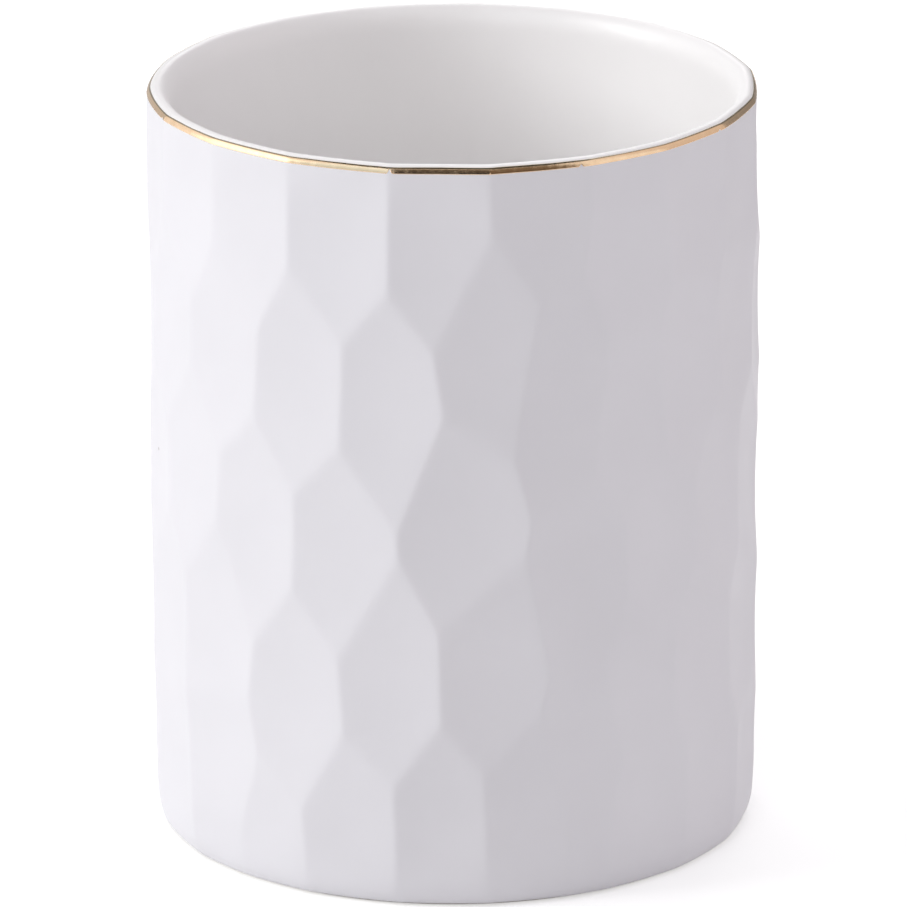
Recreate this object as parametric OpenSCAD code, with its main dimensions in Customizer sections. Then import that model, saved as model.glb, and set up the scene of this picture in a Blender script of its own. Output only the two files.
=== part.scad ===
// Round ceramic tumbler that holds toothbrushes, open at the top.
// Shallow hexagonal scoops cover the outside in five staggered rows, and a gold line
// follows the outer edge of the lip. The clay cup is coated matt outside and glossy inside.
// The cup stands on its foot ring at z = 0, its axis is the Z axis and its front is -Y.

/* [Cup] */
// Outside diameter over the ridges between the scoops
outer_d = 80.6; // [64:0.2:120]
// Height from the table to the top of the lip
height = 100; // [80:1:140]
// Wall thickness from the ridges to the bore, coats included
wall_t = 3.6; // [3.2:0.1:7]
// Floor thickness above the foot recess, inside coat included
floor_t = 4.4; // [3:0.2:10]
// Rounding inside, where the wall meets the floor
bore_corner_r = 8; // [2:0.5:20]

/* [Lip] */
// Rounding of the outer edge of the lip
lip_outer_r = 0.9; // [0.5:0.05:1.2]
// Rounding of the inner edge of the lip
lip_inner_r = 2.4; // [0.8:0.1:4]
// Height of the gold line down from the top of the lip
gold_drop = 1.05; // [0.6:0.05:3]

/* [Foot] */
// Rounding where the wall turns under to the foot
base_edge_r = 2.2; // [1:0.1:5]
// Height of the bare foot ring below the cup
foot_h = 0.6; // [0.4:0.1:3]
// Width of the foot ring that meets the table
foot_w = 3; // [1.5:0.25:8]
// Depth of the recess inside the foot ring
recess_depth = 1.4; // [0.8:0.1:4]
// Height of bare clay above the foot ring, where the outside coat stops
bare_h = 0.7; // [0.4:0.05:1.6]

/* [Scoops] */
// Radius of the round tool face that leaves each scoop
scoop_r = 70; // [60:1:90]
// Depth of each scoop below the ridges
scoop_depth = 1.4; // [1.2:0.1:1.8]

/* [Coats] */
// Thickness of the fired coats, outside, inside and on the lip
coat_t = 0.35; // [0.2:0.05:0.6]

/* [Hidden] */
$fn = 360;
corner_fn = 96;
scoop_fn = 720;

outer_r = outer_d / 2;
bore_r = outer_r - wall_t;
floor_z = recess_depth + floor_t;
corner_r = min(bore_corner_r, bore_r / 2);
lip_round_limit_share = 0.95;
lip_round_r = min(lip_inner_r, (wall_t - lip_outer_r) * lip_round_limit_share);
join_r = bore_r + lip_round_r;
gold_z = height - gold_drop;
foot_outer_r = outer_r - base_edge_r - coat_t;
foot_inner_r = foot_outer_r - foot_w;
bare_z = foot_h + bare_h;
overrun = 1;

// The scoops that face the front, row by row from the lip down.
// Each is [degrees round from the front, share of the height].
front_row_shares = [
    [[-60, 0.91], [-41, 0.91], [-22, 0.905], [-2.5, 0.90], [17, 0.935], [35.5, 0.875], [52, 0.92],
        [70, 0.91]],
    [[-67, 0.735], [-48.5, 0.73], [-29.5, 0.70], [-10.5, 0.675], [8, 0.765], [21, 0.69], [35.5, 0.635],
        [50, 0.685], [68, 0.695]],
    [[-77, 0.52], [-59, 0.545], [-40.5, 0.49], [-21.5, 0.475], [1.5, 0.52], [24, 0.425], [43.5, 0.455],
        [61, 0.495]],
    [[-70, 0.335], [-51, 0.345], [-31, 0.27], [-11.5, 0.31], [7, 0.32], [25, 0.20], [38, 0.28], [54, 0.30],
        [73, 0.30]],
    [[-69, 0.12], [-50, 0.15], [-38, 0.03], [-20, 0.085], [-2.5, 0.10], [14, 0.12], [40, 0.10], [58, 0.10]],
];
every_row = [0:len(front_row_shares) - 1];
top_row = [0];

// The back of each row, carried on round the cup at an even pitch with a little drift and lift
back_counts = [11, 11, 11, 10, 12];
back_height_shares = [0.91, 0.70, 0.50, 0.305, 0.105];
back_drift_shares = [0, 0.1, -0.08, 0.05, -0.1];
back_lift_shares = [0.015, -0.02, 0.01, -0.01, 0.025, -0.015, 0];

function row_start(row) = front_row_shares[row][0][0];
function row_end(row) = front_row_shares[row][len(front_row_shares[row]) - 1][0];
function back_pitch(row) = (360 + row_start(row) - row_end(row)) / (back_counts[row] + 1);
function back_drift(row, k) = back_drift_shares[(k + 2 * row) % len(back_drift_shares)];
function back_lift(row, k) = back_lift_shares[(k + 3 * row) % len(back_lift_shares)];
function back_row_shares(row) = [
    for (k = [0:back_counts[row] - 1])
        [row_end(row) + (k + 1 + back_drift(row, k)) * back_pitch(row),
            back_height_shares[row] + back_lift(row, k)]
];

// How far from its middle a scoop still bites into the ridges
reach_share = 1.1;
scoop_reach = reach_share * sqrt(2 * (scoop_r + coat_t) * scoop_depth);

// One scoop at the front of the cup, cut from a coat's depth below the finished surface
module scoop(depth) {
    intersection() {
        translate([0, -(outer_r - scoop_depth + scoop_r), 0])
            sphere(r = scoop_r + depth, $fn = scoop_fn);
        translate([0, -(outer_r - 2 * scoop_depth), 0])
            rotate([90, 0, 0])
                cylinder(r = scoop_reach, h = 4 * scoop_depth);
    }
}

module scoops(depth, rows) {
    for (row = rows)
        for (place = concat(front_row_shares[row], back_row_shares(row)))
            rotate([0, 0, place[0]])
                translate([0, 0, place[1] * height])
                    scoop(depth);
}

// Half section of the outside at a depth below the finished surface, down to the foot ring
module outside_section(depth) {
    side_r = outer_r - depth;
    lip_r = lip_outer_r - depth;
    edge_r = base_edge_r - depth;
    edge_z = foot_h + base_edge_r;
    lip_z = height - lip_outer_r;
    translate([0, foot_h + depth])
        square([side_r - edge_r, height - foot_h - 2 * depth - lip_r]);
    translate([0, edge_z])
        square([side_r, lip_z - edge_z]);
    translate([0, lip_z])
        square([side_r - lip_r, lip_r]);
    translate([side_r - edge_r, edge_z])
        circle(r = edge_r, $fn = corner_fn);
    translate([side_r - lip_r, lip_z])
        circle(r = lip_r, $fn = corner_fn);
}

// Half section of the bore, its depth measured into the wall from the finished surface
module bore_section(depth) {
    round_r = corner_r + depth;
    translate([0, floor_z + corner_r])
        square([bore_r + depth, height]);
    translate([0, floor_z - depth])
        square([bore_r - corner_r, round_r]);
    translate([bore_r - corner_r, floor_z + corner_r])
        intersection() {
            circle(r = round_r, $fn = corner_fn);
            translate([0, -round_r])
                square([round_r, round_r]);
        }
    difference() {
        translate([bore_r, height - lip_round_r])
            square([lip_round_r, lip_round_r + overrun]);
        translate([join_r, height - lip_round_r])
            circle(r = lip_round_r - depth, $fn = corner_fn);
    }
}

// The outside of the cup, scooped, at a depth below the finished surface
module scooped_outside(depth, rows) {
    difference() {
        rotate_extrude()
            outside_section(depth);
        scoops(depth, rows);
    }
}

module ceramic_body() {
    color("gainsboro")
        difference() {
            union() {
                rotate_extrude()
                    outside_section(coat_t);
                cylinder(r = foot_outer_r, h = foot_h + base_edge_r);
            }
            scoops(coat_t, every_row);
            rotate_extrude()
                bore_section(coat_t);
            translate([0, 0, -overrun])
                cylinder(r = foot_inner_r, h = recess_depth + overrun);
        }
}

module outer_matt_glaze() {
    color("white")
        difference() {
            rotate_extrude()
                intersection() {
                    outside_section(0);
                    translate([0, bare_z])
                        square([outer_d, gold_z - bare_z]);
                }
            scoops(0, every_row);
            scooped_outside(coat_t, every_row);
        }
}

module inner_gloss_glaze() {
    color("ivory")
        rotate_extrude()
            difference() {
                union() {
                    intersection() {
                        bore_section(coat_t);
                        square([join_r, height]);
                    }
                    translate([bore_r, height - coat_t])
                        square([join_r - bore_r, coat_t]);
                }
                bore_section(0);
            }
}

module gold_rim_line() {
    color("goldenrod")
        difference() {
            rotate_extrude()
                intersection() {
                    outside_section(0);
                    translate([join_r, gold_z])
                        square([outer_d, height - gold_z]);
                }
            scoops(0, top_row);
            scooped_outside(coat_t, top_row);
        }
}

ceramic_body();
outer_matt_glaze();
inner_gloss_glaze();
gold_rim_line();
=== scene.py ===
"""Ceramic toothbrush tumbler: matt scooped glaze outside, glossy glaze inside, gold line on the lip.

The cup stands on z = 0 with its axis on Z and its photographed side towards -Y.
Lengths are in millimetres until a mesh is made, and angles round the cup are measured
from the front, with + towards +X.
"""

import math

import bpy
import numpy as np
from mathutils import Matrix, Vector


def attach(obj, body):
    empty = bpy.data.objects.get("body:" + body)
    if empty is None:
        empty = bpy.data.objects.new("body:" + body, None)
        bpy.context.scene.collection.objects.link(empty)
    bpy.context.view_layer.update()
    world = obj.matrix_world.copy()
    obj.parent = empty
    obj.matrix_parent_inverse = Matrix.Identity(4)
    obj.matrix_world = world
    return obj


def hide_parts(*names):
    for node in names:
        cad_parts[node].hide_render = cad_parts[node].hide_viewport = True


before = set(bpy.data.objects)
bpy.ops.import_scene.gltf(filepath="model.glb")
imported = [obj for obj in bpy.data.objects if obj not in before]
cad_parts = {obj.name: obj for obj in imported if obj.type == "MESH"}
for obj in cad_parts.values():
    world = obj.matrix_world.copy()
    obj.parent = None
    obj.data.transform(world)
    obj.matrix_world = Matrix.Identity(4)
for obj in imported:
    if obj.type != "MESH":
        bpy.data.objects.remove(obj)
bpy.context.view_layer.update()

MM = 0.001
QUARTER_TURN = np.pi / 2

# Cup
CUP_HEIGHT = 100.0
BORE_RADIUS = 36.7
BORE_CORNER = 8.0
FLOOR_HEIGHT = 5.8
# Thickness of the two glazes
COAT = 0.35

# Foot
FOOT_HEIGHT = 0.3
FOOT_OUTER = 37.75
FOOT_INNER = 34.75
RECESS_DEPTH = 1.4
# The wall turns under to the foot on a tall quarter ellipse
BASE_INSET = 1.3
BASE_RISE = 3.6
# Where the glaze stops on that ellipse, from 0 at the wall to a quarter turn at the foot
GLAZE_END_TURN = math.radians(76)
# The bare clay goes on from there to this turn, this little below the glazed surface
BARE_END_TURN = math.radians(86)
BARE_DEPTH = 0.06

# Lip
LIP_OUTER_ROUNDING = 1.2
LIP_INNER_ROUNDING = 3.2
# On the outer rounding, from 0 at the wall to a quarter turn on top: where the two glazes
# meet under the gold, and where the gold ends
GLAZE_JOIN_TURN = math.radians(25)
GOLD_TOP_TURN = math.radians(53)
GOLD_BOTTOM = 99.0
# How far the gold stands off the glaze, and how far it reaches in under its surface
GOLD_FILM = 0.04
# A dark reflection is painted brown into the gold between these heights, along its upper edge
PAINTED_REFLECTION_LOW, PAINTED_REFLECTION_HIGH = 99.63, 99.70
# How much the edges of the gold waver, in millimetres below and in radians on top,
# and the seeds of the two wavers
GOLD_LOW_WAVER, GOLD_LOW_SEED = 0.04, 7
GOLD_TOP_WAVER, GOLD_TOP_SEED = 0.10, 11
# Worn notches in the lower edge of the gold: degrees round, half width in degrees, height
GOLD_NOTCHES = [
    (-11.6, 0.3, 0.55), (24.2, 0.25, 0.35), (59.5, 0.3, 0.25), (-70, 0.4, 0.2), (112, 0.3, 0.4),
    (-128, 0.35, 0.45), (163, 0.25, 0.3),
]
# The gold starts at least this far above the start of the lip's rounding, and at most this far
GOLD_LEAST_START, GOLD_MOST_START = 0.05, 0.75

# The wall runs between the ellipse of the base and the rounding of the lip
WALL_LOW = FOOT_HEIGHT + BASE_RISE
WALL_HIGH = CUP_HEIGHT - LIP_OUTER_ROUNDING

# Scoops: the radius at the middle of one, how fast it rises from there per square millimetre
# across and along the cup, and how softly two scoops meet
SCOOP_FLOOR_RADIUS = 39.35
RISE_ACROSS = 0.0165
RISE_ALONG = 0.0038
RIDGE_SOFTNESS = 0.07
MEAN_RADIUS = 39.7
# The scoops run straight on above and below these heights
SCOOPS_LOW, SCOOPS_HIGH = 8.0, 93.0
# The lip and the base are rounder than the wall: the part of the scooping that is left there
LIP_SCOOPING, LIP_FADE_FROM = 0.3, 92.0
BASE_SCOOPING, BASE_FADE_TO = 0.25, 9.0
# How much narrower the cup is at the very base
BASE_TAPER = 0.3
# One facet at the front stays flat up to the lip: its middle, its half width and what it adds
FLAT_TURN, FLAT_WIDTH, FLAT_SCOOPING = math.radians(-2.5), math.radians(11), 0.5
# The scoops at the left side are shallow: their middle, half width and the share they lose
SHALLOW_TURN, SHALLOW_WIDTH, SHALLOW_LOSS = math.radians(-91), math.radians(14), 0.7

# The scoops that face the front, row by row from the lip down: degrees, share of the height
FRONT_ROWS = [
    [(-59, 0.91), (-42, 0.90), (-21.5, 0.905), (-2.5, 0.90), (16.5, 0.96), (35.5, 0.875), (52, 0.92),
     (70, 0.91)],
    [(-67, 0.735), (-48.5, 0.73), (-30, 0.695), (-12.5, 0.675), (6.5, 0.765), (21.5, 0.69), (35.5, 0.635),
     (50, 0.685), (68, 0.73)],
    [(-77, 0.52), (-59, 0.545), (-40.5, 0.49), (-22, 0.475), (1, 0.52), (25.5, 0.43), (42.5, 0.455),
     (61, 0.505), (75.5, 0.50), (91, 0.45)],
    [(-70, 0.335), (-51, 0.345), (-31, 0.27), (-12.5, 0.31), (7, 0.32), (25, 0.20), (38, 0.28), (54, 0.30),
     (73, 0.30), (91, 0.27)],
    [(-69, 0.12), (-50, 0.15), (-38, 0.03), (-20, 0.085), (-2.5, 0.10), (14, 0.12), (40, 0.10), (58, 0.10)],
]
# The rest of each row goes on round the back at an even pitch, with a little drift and lift
BACK_COUNTS = [11, 11, 9, 9, 12]
BACK_HEIGHTS = [0.91, 0.70, 0.50, 0.305, 0.105]
BACK_DRIFT = [0, 0.1, -0.08, 0.05, -0.1]
BACK_LIFT = [0.015, -0.02, 0.01, -0.01, 0.025, -0.015, 0]

# Columns of mesh round the cup, more of them on the gold line, whose edges are finer
COLUMNS = 520
GOLD_COLUMNS = 1600
# How much closer together the columns are at the front than at an even pitch
FRONT_CROWDING = 0.4

# Rows of mesh on the faces that show, and on the hidden ones beneath
WALL_ROWS, HIDDEN_WALL_ROWS = 150, 14
BASE_ROWS, HIDDEN_BASE_ROWS = 14, 5
BARE_ROWS = 4
# On the lip the matt glaze has a short way to go, the glossy one a longer one, and the clay all of it
MATT_LIP_ROWS, HIDDEN_MATT_LIP_ROWS = 4, 3
GLOSS_LIP_ROWS, HIDDEN_GLOSS_LIP_ROWS = 10, 4
CLAY_LIP_ROWS = 6
GOLD_ROWS, HIDDEN_GOLD_ROWS = 14, 5
INNER_LIP_ROWS, HIDDEN_INNER_LIP_ROWS = 12, 6
# Down the bore, round its corner and over the floor
BORE_ROWS, HIDDEN_BORE_ROWS = (40, 16, 8), (12, 8, 4)
# The turns of the base's last row and of the lip's first one, beside the wall's own rows
BASE_BESIDE_WALL, HIDDEN_BASE_BESIDE_WALL = 0.08, 0.1
LIP_BESIDE_WALL, HIDDEN_LIP_BESIDE_WALL = 0.12, 0.2
# Added to a column of row values, this gives them to every column round the cup
ALL_ROUND = np.zeros((1, COLUMNS))


def scoop_places():
    """Angles in radians and heights in millimetres of all the scoops."""
    places = []
    for row, front in enumerate(FRONT_ROWS):
        places += front
        first, last = front[0][0], front[-1][0]
        pitch = (360 + first - last) / (BACK_COUNTS[row] + 1)
        for k in range(BACK_COUNTS[row]):
            turn = last + (k + 1 + BACK_DRIFT[(k + 2 * row) % len(BACK_DRIFT)]) * pitch
            places.append((turn, BACK_HEIGHTS[row] + BACK_LIFT[(k + 3 * row) % len(BACK_LIFT)]))
    table = np.array(places)
    return np.radians(table[:, 0]), table[:, 1] * CUP_HEIGHT


SCOOP_TURNS, SCOOP_HEIGHTS = scoop_places()


def fade(value, start, end):
    """A smooth step: 0 up to the start, 1 past the end, and 3 s squared - 2 s cubed between."""
    share = np.clip((value - start) / (end - start), 0, 1)
    return share ** 2 * (3 - 2 * share)


def wall_radius(turn, height):
    """Outside radius of the scooped wall.

    Each scoop is a bowl whose radius grows with the square of the distance from its middle,
    across and along the cup. The wall follows the lowest bowl, and where two meet, the least
    is taken softly: minus the softness times the log of the sum of exp(-rise / softness).
    Near the lip and the base the wall goes part of the way back to its mean radius, less
    the taper at the base. One facet at the front keeps more of its scooping at the lip, by
    exp(-(distance / width) to the fourth), and the scoops at the left side lose most of
    theirs, by exp(-(distance / width) squared).
    """
    turn, height = np.broadcast_arrays(turn, height)
    across = turn[None] - SCOOP_TURNS[:, None, None]
    across = MEAN_RADIUS * ((across + np.pi) % (2 * np.pi) - np.pi)
    along = np.clip(height, SCOOPS_LOW, SCOOPS_HIGH)[None] - SCOOP_HEIGHTS[:, None, None]
    rise = RISE_ACROSS * across ** 2 + RISE_ALONG * along ** 2
    least = rise.min(axis=0)
    soft = least - RIDGE_SOFTNESS * np.log(np.exp(-(rise - least) / RIDGE_SOFTNESS).sum(axis=0))
    flat = FLAT_SCOOPING * np.exp(-((turn - FLAT_TURN) / FLAT_WIDTH) ** 4)
    shallow = 1 - SHALLOW_LOSS * np.exp(-((turn - SHALLOW_TURN) / SHALLOW_WIDTH) ** 2)
    lip = 1 - (1 - LIP_SCOOPING - flat) * fade(height, LIP_FADE_FROM, CUP_HEIGHT)
    base = 1 - (1 - BASE_SCOOPING) * fade(height, BASE_FADE_TO, 0)
    taper = BASE_TAPER * fade(height, BASE_FADE_TO, 0)
    return MEAN_RADIUS - taper + (SCOOP_FLOOR_RADIUS + soft - MEAN_RADIUS) * lip * base * shallow


# Meshes

def turns(columns=COLUMNS):
    """The angles of the columns round the cup, as one row, closer together at the front.

    An even angle less the crowding times its sine.
    """
    even = np.linspace(-np.pi, np.pi, columns, endpoint=False)[None]
    return even - FRONT_CROWDING * np.sin(even)


def around(radius, height):
    """Points from the radius and height of each row and column: x = r sin turn, y = -r cos turn."""
    turn = turns(radius.shape[1])
    return np.stack([radius * np.sin(turn), -radius * np.cos(turn), height], axis=-1)


def place(name, mesh):
    """A new object that shows a mesh, in the scene."""
    piece = bpy.data.objects.new(name, mesh)
    bpy.context.scene.collection.objects.link(piece)
    return piece


def shell(name, points, closed_rows):
    """Closed mesh from a grid of points, rows by columns, whose columns go round the cup.

    With closed_rows the last row joins the first, as on a ring. Otherwise the first and the
    last row each shrink to one point on the axis, and fans of triangles close the ends.
    The rows run so that the faces look outwards.
    """
    rows, columns = points.shape[:2]
    grid = np.arange(rows * columns).reshape(rows, columns)
    right = np.roll(grid, -1, axis=1)
    if closed_rows:
        quads = np.stack([grid, right, np.roll(right, -1, axis=0), np.roll(grid, -1, axis=0)], axis=-1)
        vertices = points.reshape(-1, 3)
        triangles = np.empty((0, 3), int)
    else:
        quads = np.stack([grid[:-1], right[:-1], right[1:], grid[1:]], axis=-1)
        ends = np.array([[0, 0, points[0, :, 2].mean()], [0, 0, points[-1, :, 2].mean()]])
        vertices = np.concatenate([points.reshape(-1, 3), ends])
        first = np.full(columns, rows * columns)
        triangles = np.concatenate([
            np.stack([first, right[0], grid[0]], axis=-1),
            np.stack([first + 1, grid[-1], right[-1]], axis=-1),
        ])
    quads = quads.reshape(-1, 4)
    mesh = bpy.data.meshes.new(name)
    corners = np.concatenate([quads.ravel(), triangles.ravel()]).astype(np.int32)
    sizes = np.concatenate([np.full(len(quads), 4), np.full(len(triangles), 3)])
    mesh.vertices.add(len(vertices))
    mesh.vertices.foreach_set("co", (vertices * MM).ravel())
    mesh.loops.add(len(corners))
    mesh.loops.foreach_set("vertex_index", corners)
    mesh.polygons.add(len(sizes))
    mesh.polygons.foreach_set("loop_start", (np.cumsum(sizes) - sizes).astype(np.int32))
    mesh.polygons.foreach_set("use_smooth", np.ones(len(sizes), bool))
    mesh.update(calc_edges=True)
    mesh.validate()
    return place(name, mesh)


def column(values):
    """A list of row values as one column."""
    return np.asarray(values, float)[:, None]


def base_rows(start, end, count, depth):
    """Rows round the base, from one turn of its ellipse to another, at a depth below the surface.

    Radius is the wall's less inset times (1 - cos), height is the foot's plus rise times
    (1 - sin). Turn 0 is the wall and a quarter turn is the foot. The depth goes inwards by
    the cosine of half the turn and upwards by the cube of the turn's sine.
    """
    turn = column(np.linspace(start, end, count))
    height = FOOT_HEIGHT + BASE_RISE * (1 - np.sin(turn))
    radius = wall_radius(turns(), height) - BASE_INSET * (1 - np.cos(turn))
    return radius - depth * np.cos(turn / 2), height + depth * np.sin(turn) ** 3 + ALL_ROUND


def wall_rows(count, depth):
    """Rows up the scooped wall, at a depth below the surface."""
    height = column(np.linspace(WALL_LOW, WALL_HIGH, count))
    return wall_radius(turns(), height) - depth, height + ALL_ROUND


def lip_rows(start, end, count, depth, columns=COLUMNS):
    """Rows over the outer edge of the lip, from turn 0 at the wall to a quarter turn on top.

    Radius is the wall's less rounding times (1 - cos), height is the middle of the rounding
    plus rounding times sin. An end can be given for each column.
    """
    turn = start + (end - start) * column(np.linspace(0, 1, count))
    radius = wall_radius(turns(columns), WALL_HIGH) - LIP_OUTER_ROUNDING * (1 - np.cos(turn))
    height = WALL_HIGH + LIP_OUTER_ROUNDING * np.sin(turn)
    return radius - depth * np.cos(turn), height - depth * np.sin(turn) + 0 * radius


def inner_lip_rows(count, depth):
    """Rows from the top of the lip into the bore: a quarter ellipse from the crest to the bore."""
    turn = column(np.linspace(0, QUARTER_TURN, count))
    crest = wall_radius(turns(), WALL_HIGH) - LIP_OUTER_ROUNDING
    reach = crest - BORE_RADIUS
    radius = crest - reach * np.sin(turn) + depth * np.sin(turn)
    height = CUP_HEIGHT - LIP_INNER_ROUNDING * (1 - np.cos(turn)) - depth * np.cos(turn)
    return radius, height + ALL_ROUND


def bore_rows(counts, depth):
    """Rows down the bore, round its corner and in over the floor, measured into the wall."""
    wall_count, corner_count, floor_count = counts
    top = CUP_HEIGHT - LIP_INNER_ROUNDING
    bottom = FLOOR_HEIGHT + BORE_CORNER
    wall_height = column(np.linspace(top, bottom, wall_count + 1)[1:])
    turn = column(np.linspace(0, QUARTER_TURN, corner_count + 1)[1:])
    floor_radius = column(np.linspace(BORE_RADIUS - BORE_CORNER, 0, floor_count + 1)[1:-1])
    radius = np.concatenate([
        np.full_like(wall_height, BORE_RADIUS + depth),
        BORE_RADIUS - BORE_CORNER + (BORE_CORNER + depth) * np.cos(turn),
        floor_radius,
    ])
    height = np.concatenate([
        wall_height,
        bottom - (BORE_CORNER + depth) * np.sin(turn),
        np.full_like(floor_radius, FLOOR_HEIGHT - depth),
    ])
    return radius + ALL_ROUND, height + ALL_ROUND


def join(*parts):
    """One grid of points from parts of rows, each a radius and a height array."""
    radius = np.concatenate([part[0] for part in parts])
    height = np.concatenate([part[1] for part in parts])
    return around(radius, height)


def backwards(part):
    """The same rows from the last to the first."""
    return part[0][::-1], part[1][::-1]


def outer_glaze():
    """The matt coat: up its outside from the bare clay to under the gold, and down its back."""
    return shell("outer_glaze", join(
        base_rows(GLAZE_END_TURN, BASE_BESIDE_WALL, BASE_ROWS, 0),
        wall_rows(WALL_ROWS, 0),
        lip_rows(LIP_BESIDE_WALL, GLAZE_JOIN_TURN, MATT_LIP_ROWS, 0),
        backwards(lip_rows(HIDDEN_LIP_BESIDE_WALL, GLAZE_JOIN_TURN, HIDDEN_MATT_LIP_ROWS, COAT)),
        backwards(wall_rows(HIDDEN_WALL_ROWS, COAT)),
        backwards(base_rows(GLAZE_END_TURN, HIDDEN_BASE_BESIDE_WALL, HIDDEN_BASE_ROWS, COAT)),
    ), True)


def liner():
    """The glossy coat: from the floor up the bore, over the lip to the gold, and back beneath."""
    return shell("inner_glaze", join(
        backwards(bore_rows(BORE_ROWS, 0)),
        backwards(inner_lip_rows(INNER_LIP_ROWS, 0)),
        backwards(lip_rows(GLAZE_JOIN_TURN, QUARTER_TURN, GLOSS_LIP_ROWS, 0)),
        lip_rows(GLAZE_JOIN_TURN, QUARTER_TURN, HIDDEN_GLOSS_LIP_ROWS, COAT),
        inner_lip_rows(HIDDEN_INNER_LIP_ROWS, COAT),
        bore_rows(HIDDEN_BORE_ROWS, COAT),
    )[::-1], False)


def clay_cup():
    """The fired cup beneath the coats, with its bare base, foot ring and recess."""
    # Radius and height, from the middle of the recess out over the foot ring
    foot = [
        (2, RECESS_DEPTH), (8, RECESS_DEPTH), (20, RECESS_DEPTH), (FOOT_INNER - 0.7, RECESS_DEPTH),
        (FOOT_INNER - 0.15, RECESS_DEPTH - 0.3), (FOOT_INNER, 0.25), (FOOT_INNER + 0.3, 0),
        (FOOT_OUTER - 0.25, 0), (FOOT_OUTER - 0.05, 0.08), (FOOT_OUTER, FOOT_HEIGHT - 0.05),
    ]
    foot_radius, foot_height = np.array(foot).T
    return shell("clay_cup", join(
        (column(foot_radius) + ALL_ROUND, column(foot_height) + ALL_ROUND),
        base_rows(BARE_END_TURN, GLAZE_END_TURN, BARE_ROWS, BARE_DEPTH),
        base_rows(GLAZE_END_TURN, HIDDEN_BASE_BESIDE_WALL, HIDDEN_BASE_ROWS, COAT),
        wall_rows(HIDDEN_WALL_ROWS, COAT),
        lip_rows(HIDDEN_LIP_BESIDE_WALL, QUARTER_TURN, CLAY_LIP_ROWS, COAT),
        inner_lip_rows(HIDDEN_INNER_LIP_ROWS, COAT),
        bore_rows(HIDDEN_BORE_ROWS, COAT),
    ), False)


def hand_wave(turn, seed):
    """A slow waver round the rim, as a brush leaves it.

    Sines of 3, 7, 11 and so on to 59 waves round the rim, whose sizes are random and fall
    with the number of waves, and whose phases are random.
    """
    rng = np.random.default_rng(seed)
    return sum(rng.normal() / n * np.sin(n * turn + rng.uniform(0, 2 * np.pi)) for n in range(3, 60, 4))


def gold_line():
    """The gold film over the outer edge of the lip.

    Its lower edge wavers and is worn up in short notches: the waver plus, for each notch,
    its height times exp(-(distance / width) squared).
    """
    turn = turns(GOLD_COLUMNS)
    low = GOLD_BOTTOM - WALL_HIGH + GOLD_LOW_WAVER * hand_wave(turn, GOLD_LOW_SEED)
    for notch, width, rise in GOLD_NOTCHES:
        low = low + rise * np.exp(-((turn - math.radians(notch)) / math.radians(width)) ** 2)
    start = np.arcsin(np.clip(low, GOLD_LEAST_START, GOLD_MOST_START) / LIP_OUTER_ROUNDING)
    end = GOLD_TOP_TURN + GOLD_TOP_WAVER * hand_wave(turn, GOLD_TOP_SEED)
    return shell("gold_line", join(
        lip_rows(start, end, GOLD_ROWS, -GOLD_FILM, GOLD_COLUMNS),
        backwards(lip_rows(start, end, HIDDEN_GOLD_ROWS, GOLD_FILM, GOLD_COLUMNS)),
    ), True)


# Materials

# The darker and the paler colour that each one varies between
MATT_GLAZE = (0.80, 0.79, 0.825), (0.83, 0.82, 0.855)
# The gloss glaze is whiter than a glaze would be: partly its own warm white, partly painted light that
# brightens the shaded inside of the cup
GLOSS_GLAZE_WITH_PAINTED_FILL = (0.972, 0.960, 0.957), (0.985, 0.974, 0.970)
GOLD = (0.84, 0.60, 0.39), (0.89, 0.66, 0.45)
CLAY = (0.66, 0.62, 0.56), (0.78, 0.75, 0.70)
# The brown of the dark reflection painted along the gold's upper edge, and the specks in the matt glaze
PAINTED_REFLECTION_BROWN = (0.34, 0.27, 0.18)
SPECK = (0.42, 0.37, 0.36)
# Points per metre of the pattern that the specks sit on, and where a speck starts to fade
# and ends, as a share of the distance between the points
SPECK_PATTERN = 86
SPECK_CORE, SPECK_EDGE = 0.010, 0.026


def material_tree(name):
    """A new node material with one Principled shader wired to its output."""
    material = bpy.data.materials.new(name)
    material.use_nodes = True
    tree = material.node_tree
    tree.nodes.clear()
    out = tree.nodes.new("ShaderNodeOutputMaterial")
    shader = tree.nodes.new("ShaderNodeBsdfPrincipled")
    tree.links.new(shader.outputs["BSDF"], out.inputs["Surface"])
    return material, tree, shader


def object_coordinates(tree):
    """Coordinates in metres on the piece itself."""
    return tree.nodes.new("ShaderNodeTexCoord").outputs["Object"]


def noise(tree, scale, detail, roughness=0.5):
    """Noise on Object coordinates; scale is in features per metre."""
    texture = tree.nodes.new("ShaderNodeTexNoise")
    texture.inputs["Scale"].default_value = scale
    texture.inputs["Detail"].default_value = detail
    texture.inputs["Roughness"].default_value = roughness
    tree.links.new(object_coordinates(tree), texture.inputs["Vector"])
    return texture.outputs["Fac"]


def ramp(tree, value, low, high, stops=(0.3, 0.7)):
    """A colour or grey that goes from low to high as the value goes between two stops."""
    node = tree.nodes.new("ShaderNodeValToRGB")
    node.color_ramp.elements[0].position = stops[0]
    node.color_ramp.elements[1].position = stops[1]
    for element, colour in zip(node.color_ramp.elements, (low, high)):
        element.color = (*colour, 1) if np.ndim(colour) else (colour, colour, colour, 1)
    tree.links.new(value, node.inputs["Fac"])
    return node.outputs["Color"]


def mix(tree, share, first, second):
    """The first colour where the share is 0 and the second where it is 1.

    Each colour is the output of a node or a plain colour.
    """
    node = tree.nodes.new("ShaderNodeMixRGB")
    tree.links.new(share, node.inputs["Fac"])
    for name, colour in (("Color1", first), ("Color2", second)):
        if isinstance(colour, tuple):
            node.inputs[name].default_value = (*colour, 1)
        else:
            tree.links.new(colour, node.inputs[name])
    return node.outputs["Color"]


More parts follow.
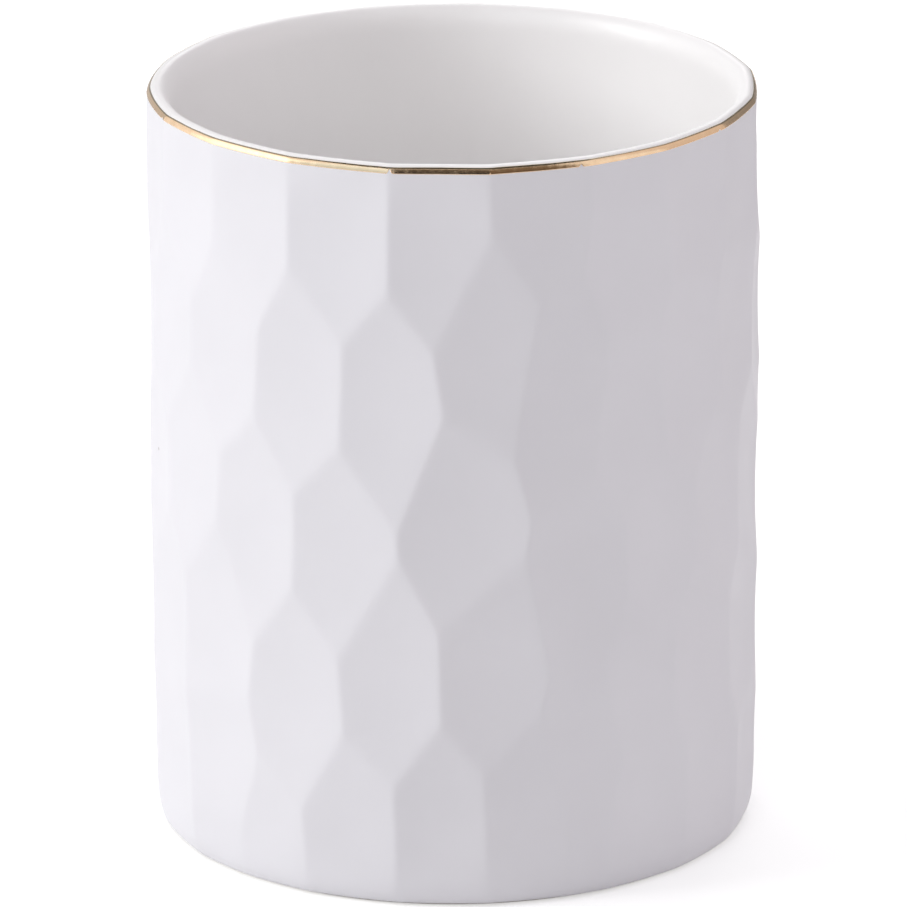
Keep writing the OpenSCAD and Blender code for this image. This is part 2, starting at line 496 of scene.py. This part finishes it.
def bump(tree, height, depth, under=None):
    """A bump of a height map, its depth in metres, on top of another one if given."""
    node = tree.nodes.new("ShaderNodeBump")
    node.inputs["Strength"].default_value = 1
    node.inputs["Distance"].default_value = depth
    tree.links.new(height, node.inputs["Height"])
    if under is not None:
        tree.links.new(under, node.inputs["Normal"])
    return node.outputs["Normal"]


def axis_share(tree, axis, start, end, low=0, high=1):
    """A value that goes from low to high as an Object coordinate goes from start to end."""
    split = tree.nodes.new("ShaderNodeSeparateXYZ")
    span = tree.nodes.new("ShaderNodeMapRange")
    for name, value in (("From Min", start), ("From Max", end), ("To Min", low), ("To Max", high)):
        span.inputs[name].default_value = value
    tree.links.new(object_coordinates(tree), split.inputs["Vector"])
    tree.links.new(split.outputs[axis], span.inputs["Value"])
    return span.outputs["Result"]


def specks(tree, colour):
    """The colour with a few tiny iron specks in it, at the points of a wide Voronoi pattern."""
    cells = tree.nodes.new("ShaderNodeTexVoronoi")
    cells.inputs["Scale"].default_value = SPECK_PATTERN
    tree.links.new(object_coordinates(tree), cells.inputs["Vector"])
    clear = ramp(tree, cells.outputs["Distance"], 0, 1, (SPECK_CORE, SPECK_EDGE))
    return mix(tree, clear, SPECK, colour)


def matt_glaze():
    """Cool white and silky, with specks, a slow ripple and a fine grain."""
    material, tree, shader = material_tree("matt_white_glaze")
    cloud = ramp(tree, noise(tree, 45, 2), *MATT_GLAZE)
    tree.links.new(specks(tree, cloud), shader.inputs["Base Color"])
    tree.links.new(ramp(tree, noise(tree, 160, 3), 0.44, 0.54), shader.inputs["Roughness"])
    ripple = bump(tree, noise(tree, 260, 2), 0.00002)
    grain = bump(tree, noise(tree, 2600, 2), 0.000004, ripple)
    tree.links.new(grain, shader.inputs["Normal"])
    return material


def gloss_glaze():
    """Warmer white and softly glossy, with the slow waves of a poured glaze; part of its whiteness is
    painted light for the shade inside the cup.
    """
    material, tree, shader = material_tree("gloss_white_glaze")
    tree.links.new(ramp(tree, noise(tree, 35, 2), *GLOSS_GLAZE_WITH_PAINTED_FILL), shader.inputs["Base Color"])
    tree.links.new(ramp(tree, noise(tree, 120, 2), 0.29, 0.36), shader.inputs["Roughness"])
    shader.inputs["Specular IOR Level"].default_value = 0.35
    tree.links.new(bump(tree, noise(tree, 110, 2), 0.00004), shader.inputs["Normal"])
    return material


def gold_lustre():
    """Bright metal with faint streaks, and a dark reflection painted in brown along its upper edge."""
    material, tree, shader = material_tree("gold_lustre")
    shader.inputs["Metallic"].default_value = 1
    streaks = ramp(tree, noise(tree, 900, 3), *GOLD)
    # Painted reflection: a brown band on the gold's upper edge stands for something dark mirrored there
    edge = axis_share(tree, "Z", PAINTED_REFLECTION_LOW * MM, PAINTED_REFLECTION_HIGH * MM)
    tree.links.new(mix(tree, edge, streaks, PAINTED_REFLECTION_BROWN), shader.inputs["Base Color"])
    tree.links.new(ramp(tree, noise(tree, 1500, 2), 0.12, 0.22), shader.inputs["Roughness"])
    tree.links.new(bump(tree, noise(tree, 1200, 2), 0.00001), shader.inputs["Normal"])
    return material


def fired_clay():
    """Dull, cloudy and grainy, as it shows on the bare foot."""
    material, tree, shader = material_tree("fired_clay")
    tree.links.new(ramp(tree, noise(tree, 220, 5, 0.6), *CLAY), shader.inputs["Base Color"])
    shader.inputs["Roughness"].default_value = 0.85
    tree.links.new(bump(tree, noise(tree, 2200, 4, 0.7), 0.00006), shader.inputs["Normal"])
    return material


def dress(piece, material, node):
    """Gives a piece its material and its body, and hides the solid of the model that it stands for."""
    piece.data.materials.append(material)
    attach(piece, "root")
    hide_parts(node)


dress(clay_cup(), fired_clay(), "ceramic_body")
dress(outer_glaze(), matt_glaze(), "outer_matt_glaze")
dress(liner(), gloss_glaze(), "inner_gloss_glaze")
dress(gold_line(), gold_lustre(), "gold_rim_line")


# Floor, world and lamps, in metres

FLOOR_GLOW = 0.45
FLOOR_RINGS = [0.05, 0.15, 0.4, 1.0, 3.0]
FLOOR_SIDES = 96
# The room that lights the cup, and the whiter one that the camera and mirrored rays see
ROOM_LIGHT = (0.415, 0.397, 0.413)
ROOM_SEEN = (1, 1, 1)
# The point that the lamps and cards look at, half way up the cup
CUP_MIDDLE = Vector((0, 0, 0.05))


def seen_rays(tree):
    """1 for rays from the camera and for mirrored and refracted ones, 0 for the rest."""
    path = tree.nodes.new("ShaderNodeLightPath")
    total = path.outputs["Is Camera Ray"]
    for other in ("Is Glossy Ray", "Is Transmission Ray"):
        node = tree.nodes.new("ShaderNodeMath")
        node.operation = "MAXIMUM"
        tree.links.new(total, node.inputs[0])
        tree.links.new(path.outputs[other], node.inputs[1])
        total = node.outputs[0]
    return total


def pale_floor():
    """Pale and dull, with a glow for seen rays only, so that the ground of the picture is white."""
    material, tree, shader = material_tree("pale_floor")
    shader.inputs["Base Color"].default_value = (0.8, 0.8, 0.8, 1)
    shader.inputs["Roughness"].default_value = 0.9
    shader.inputs["Emission Color"].default_value = (1, 1, 1, 1)
    glow = tree.nodes.new("ShaderNodeMath")
    glow.operation = "MULTIPLY"
    glow.inputs[1].default_value = FLOOR_GLOW
    tree.links.new(seen_rays(tree), glow.inputs[0])
    tree.links.new(glow.outputs[0], shader.inputs["Emission Strength"])
    return material


def floor_disc():
    """A flat disc on z = 0: rings of points from the middle out."""
    turn = np.linspace(0, 2 * np.pi, FLOOR_SIDES, endpoint=False)[None]
    radius = column(FLOOR_RINGS)
    points = np.stack([radius * np.cos(turn), radius * np.sin(turn), 0 * radius * turn], axis=-1)
    grid = np.arange(len(FLOOR_RINGS) * FLOOR_SIDES).reshape(-1, FLOOR_SIDES)
    right = np.roll(grid, -1, axis=1)
    faces = np.stack([grid[:-1], grid[1:], right[1:], right[:-1]], axis=-1).reshape(-1, 4).tolist()
    faces.append(grid[0].tolist())
    mesh = bpy.data.meshes.new("floor")
    mesh.from_pydata(points.reshape(-1, 3).tolist(), [], faces)
    mesh.materials.append(pale_floor())
    place("floor", mesh)


def studio_room():
    """The world: even light from all sides, seen as white."""
    world = bpy.data.worlds.new("studio")
    bpy.context.scene.world = world
    world.use_nodes = True
    tree = world.node_tree
    tree.nodes.clear()
    sky = tree.nodes.new("ShaderNodeBackground")
    out = tree.nodes.new("ShaderNodeOutputWorld")
    tree.links.new(mix(tree, seen_rays(tree), ROOM_LIGHT, ROOM_SEEN), sky.inputs["Color"])
    tree.links.new(sky.outputs["Background"], out.inputs["Surface"])


def aim(thing, azimuth, elevation, distance):
    """Stands a lamp or a card at a distance, looking at the middle of the cup.

    The azimuth goes round the cup and the elevation is above its middle, both in degrees.
    """
    a, e = math.radians(azimuth), math.radians(elevation)
    direction = Vector((math.sin(a) * math.cos(e), -math.cos(a) * math.cos(e), math.sin(e)))
    thing.location = direction * distance + CUP_MIDDLE
    thing.rotation_euler = direction.to_track_quat("Z", "Y").to_euler()


def softbox(name, azimuth, elevation, distance, width, height, power, colour=(1, 1, 1)):
    """A soft rectangular lamp aimed at the middle of the cup."""
    light = bpy.data.lights.new(name, "AREA")
    light.color = colour
    light.shape = "RECTANGLE"
    light.size, light.size_y = width, height
    light.energy = power
    aim(place(name, light), azimuth, elevation, distance)


def card(name, azimuth, elevation, distance, width, height, low_shade, high_shade, colour=(1, 1, 1)):
    """A card that only mirrored rays see, so that the gold has something to show.

    Its lower half is of one shade, and from the middle up it runs evenly to the other.
    """
    x, y = width / 2, height / 2
    mesh = bpy.data.meshes.new(name)
    mesh.from_pydata([(-x, -y, 0), (x, -y, 0), (x, y, 0), (-x, y, 0)], [], [(0, 1, 2, 3)])
    material = bpy.data.materials.new(name)
    material.use_nodes = True
    tree = material.node_tree
    tree.nodes.clear()
    out = tree.nodes.new("ShaderNodeOutputMaterial")
    glow = tree.nodes.new("ShaderNodeEmission")
    glow.inputs["Color"].default_value = (*colour, 1)
    tree.links.new(axis_share(tree, "Y", 0, y, low_shade, high_shade), glow.inputs["Strength"])
    tree.links.new(glow.outputs["Emission"], out.inputs["Surface"])
    mesh.materials.append(material)
    piece = place(name, mesh)
    piece.visible_camera = piece.visible_diffuse = piece.visible_shadow = piece.visible_transmission = False
    aim(piece, azimuth, elevation, distance)


floor_disc()
studio_room()

softbox("side_softbox", -80, 25, 1.6, 0.7, 0.8, 12.8, (0.98, 1, 0.99))
softbox("front_softbox", -4, 30, 1.4, 0.9, 0.9, 3)
softbox("right_softbox", 100, 18, 1.4, 0.9, 0.9, 2.7, (1, 0.93, 0.97))
softbox("back_softbox", 180, 40, 1.4, 0.9, 0.9, 5)

card("front_card", -2, 20, 0.30, 0.115, 0.5, 0, 0.12, (1, 0.8, 0.55))
card("front_left_card", -36, 20, 0.34, 0.17, 0.5, 0.9, 1.5, (0.78, 0.92, 1))
card("front_right_card", 26, 20, 0.34, 0.155, 0.5, 0.13, 0.22, (1, 0.76, 0.52))
card("far_right_card", 100, 18, 0.34, 0.26, 0.5, 0.72, 0.85, (1, 0.91, 0.86))
card("side_card", -86, 18, 0.55, 0.52, 0.6, 1.6, 1.6)
card("right_card", 142, 15, 0.34, 0.26, 0.5, 0.28, 0.5)
card("left_card", -152, 15, 0.34, 0.26, 0.5, 0.6, 0.7)
card("top_card", 0, 90, 0.6, 0.60, 0.60, 0.12, 0.12)


# Camera: the photograph's viewing angle, with a long lens, in metres and radians

CAMERA_HEIGHT_ANGLE = 0.3133
CAMERA_ROLL = 0.00384
CAMERA_DISTANCE = 1.3073
CAMERA_AIM = Vector((-0.00004, 0, 0.0492))
# Focal length and sensor width, in millimetres
LENS, SENSOR = 394.4, 36
CLIP_NEAR, CLIP_FAR = 0.1, 20


def camera():
    """Looks along +Y and down, turned about its own axis by the small roll."""
    e = CAMERA_HEIGHT_ANGLE
    ahead = Vector((0, math.cos(e), -math.sin(e)))
    up = Vector((0, math.sin(e), math.cos(e)))
    side = Vector((1, 0, 0))
    c, s = math.cos(CAMERA_ROLL), math.sin(CAMERA_ROLL)
    x_axis, y_axis = c * side - s * up, s * side + c * up
    turn = Matrix((x_axis, y_axis, -ahead)).transposed()
    data = bpy.data.cameras.new("camera")
    data.sensor_fit = "HORIZONTAL"
    data.sensor_width = SENSOR
    data.lens = LENS
    data.clip_start, data.clip_end = CLIP_NEAR, CLIP_FAR
    eye = place("camera", data)
    eye.matrix_world = Matrix.Translation(CAMERA_AIM - CAMERA_DISTANCE * ahead) @ turn.to_4x4()
    bpy.context.scene.camera = eye


camera()
bpy.context.scene.view_settings.view_transform = "Standard"
